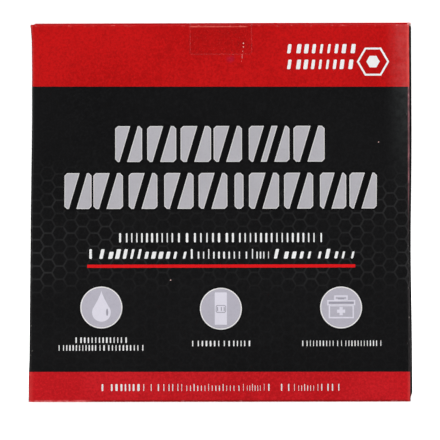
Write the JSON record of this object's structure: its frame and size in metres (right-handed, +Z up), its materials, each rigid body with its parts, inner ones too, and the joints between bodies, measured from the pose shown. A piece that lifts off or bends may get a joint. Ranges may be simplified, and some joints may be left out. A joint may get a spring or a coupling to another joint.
{
  "type": "boxed stretch wrap tourniquet",
  "caption": "Upright square folding carton with tuck ends and a clear seal over its front edge, holding a rolled elastic stretch-wrap tourniquet band.",
  "frame": {"origin": "centre of the carton's bottom, at floor level", "axes": "+Z up; the printed front faces -Y; +X to the right of someone facing the front"},
  "size_m": [0.108, 0.0322, 0.1075],
  "materials": {
    "red_board": "coated board, printed red, satin",
    "black_board": "coated board, printed black with a faint hexagon pattern, satin",
    "raw_board": "uncoated inside of the board, matt",
    "seal_film": "clear adhesive film",
    "wrap_rubber": "matt elastic rubber",
    "clear_film": "clear shrink film",
    "leaflet_paper": "uncoated paper, matt"
  },
  "bodies": {
    "carton": {"front_panel": "black_board", "back_panel": "black_board", "left_side_panel": "black_board", "right_side_panel": "black_board", "glue_flap": "raw_board"},
    "top_closure": {"top_closure_panel": "red_board", "seal_top_leaf": "seal_film"},
    "top_tuck": {"top_tuck_flap": "red_board"},
    "top_dust_left": {"top_dust_flap_left": "raw_board"},
    "top_dust_right": {"top_dust_flap_right": "raw_board"},
    "seal_peel": {"seal_front_leaf": "seal_film"},
    "contents": {"wrap_roll": "wrap_rubber", "film_sleeve": "clear_film"},
    "leaflet": {"instruction_leaflet": "leaflet_paper"},
    "bottom_closure": {"bottom_closure_panel": "red_board"},
    "bottom_tuck": {"bottom_tuck_flap": "red_board"},
    "bottom_dust_left": {"bottom_dust_flap_left": "raw_board"},
    "bottom_dust_right": {"bottom_dust_flap_right": "raw_board"}
  },
  "joints": [
    {"name": "top_closure_hinge", "type": "hinge", "parent": "carton", "child": "top_closure", "pos_m": [0, 0.016, 0.1072], "axis": [-1, 0, 0], "range_deg": [0, 250.5]},
    {"name": "top_tuck_hinge", "type": "hinge", "parent": "top_closure", "child": "top_tuck", "pos_m": [0, -0.0152, 0.1072], "axis": [-1, 0, 0], "range_deg": [0, 13]},
    {"name": "top_dust_left_hinge", "type": "hinge", "parent": "carton", "child": "top_dust_left", "pos_m": [-0.054, 0, 0.1064], "axis": [0, -1, 0], "range_deg": [0, 125.5]},
    {"name": "top_dust_right_hinge", "type": "hinge", "parent": "carton", "child": "top_dust_right", "pos_m": [0.054, 0, 0.1064], "axis": [0, 1, 0], "range_deg": [0, 125.5]},
    {"name": "contents_slide", "type": "slide", "parent": "carton", "child": "contents", "axis": [0, 0, 1], "range_m": [0, 0.02443]},
    {"name": "leaflet_slide", "type": "slide", "parent": "carton", "child": "leaflet", "axis": [0, 0, 1], "range_m": [0, 0.04165]},
    {"name": "seal_peel_hinge", "type": "hinge", "parent": "top_closure", "child": "seal_peel", "pos_m": [0.0001, -0.0162, 0.1074], "axis": [-1, 0, 0], "range_deg": [0, 160]},
    {"name": "bottom_closure_hinge", "type": "hinge", "parent": "carton", "child": "bottom_closure", "pos_m": [0, 0.016, 0], "axis": [1, 0, 0], "range_deg": [0, 250]},
    {"name": "bottom_tuck_hinge", "type": "hinge", "parent": "bottom_closure", "child": "bottom_tuck", "pos_m": [0, -0.0152, 0], "axis": [1, 0, 0], "range_deg": [0, 13]},
    {"name": "bottom_dust_left_hinge", "type": "hinge", "parent": "carton", "child": "bottom_dust_left", "pos_m": [-0.054, 0, 0.0008], "axis": [0, 1, 0], "range_deg": [0, 125.5]},
    {"name": "bottom_dust_right_hinge", "type": "hinge", "parent": "carton", "child": "bottom_dust_right", "pos_m": [0.054, 0, 0.0008], "axis": [0, -1, 0], "range_deg": [0, 125.5]}
  ],
  "couplings": [
    {"joint": "top_closure_hinge", "follows": "contents_slide", "rad_per_m": 178.57},
    {"joint": "top_tuck_hinge", "follows": "contents_slide", "rad_per_m": 8.9286},
    {"joint": "top_dust_left_hinge", "follows": "contents_slide", "rad_per_m": 89.286},
    {"joint": "top_dust_right_hinge", "follows": "contents_slide", "rad_per_m": 89.286},
    {"joint": "leaflet_slide", "follows": "contents_slide", "ratio": 1.6964},
    {"joint": "bottom_tuck_hinge", "follows": "bottom_closure_hinge", "ratio": 0.05},
    {"joint": "bottom_dust_left_hinge", "follows": "bottom_closure_hinge", "ratio": 0.5},
    {"joint": "bottom_dust_right_hinge", "follows": "bottom_closure_hinge", "ratio": 0.5}
  ]
}
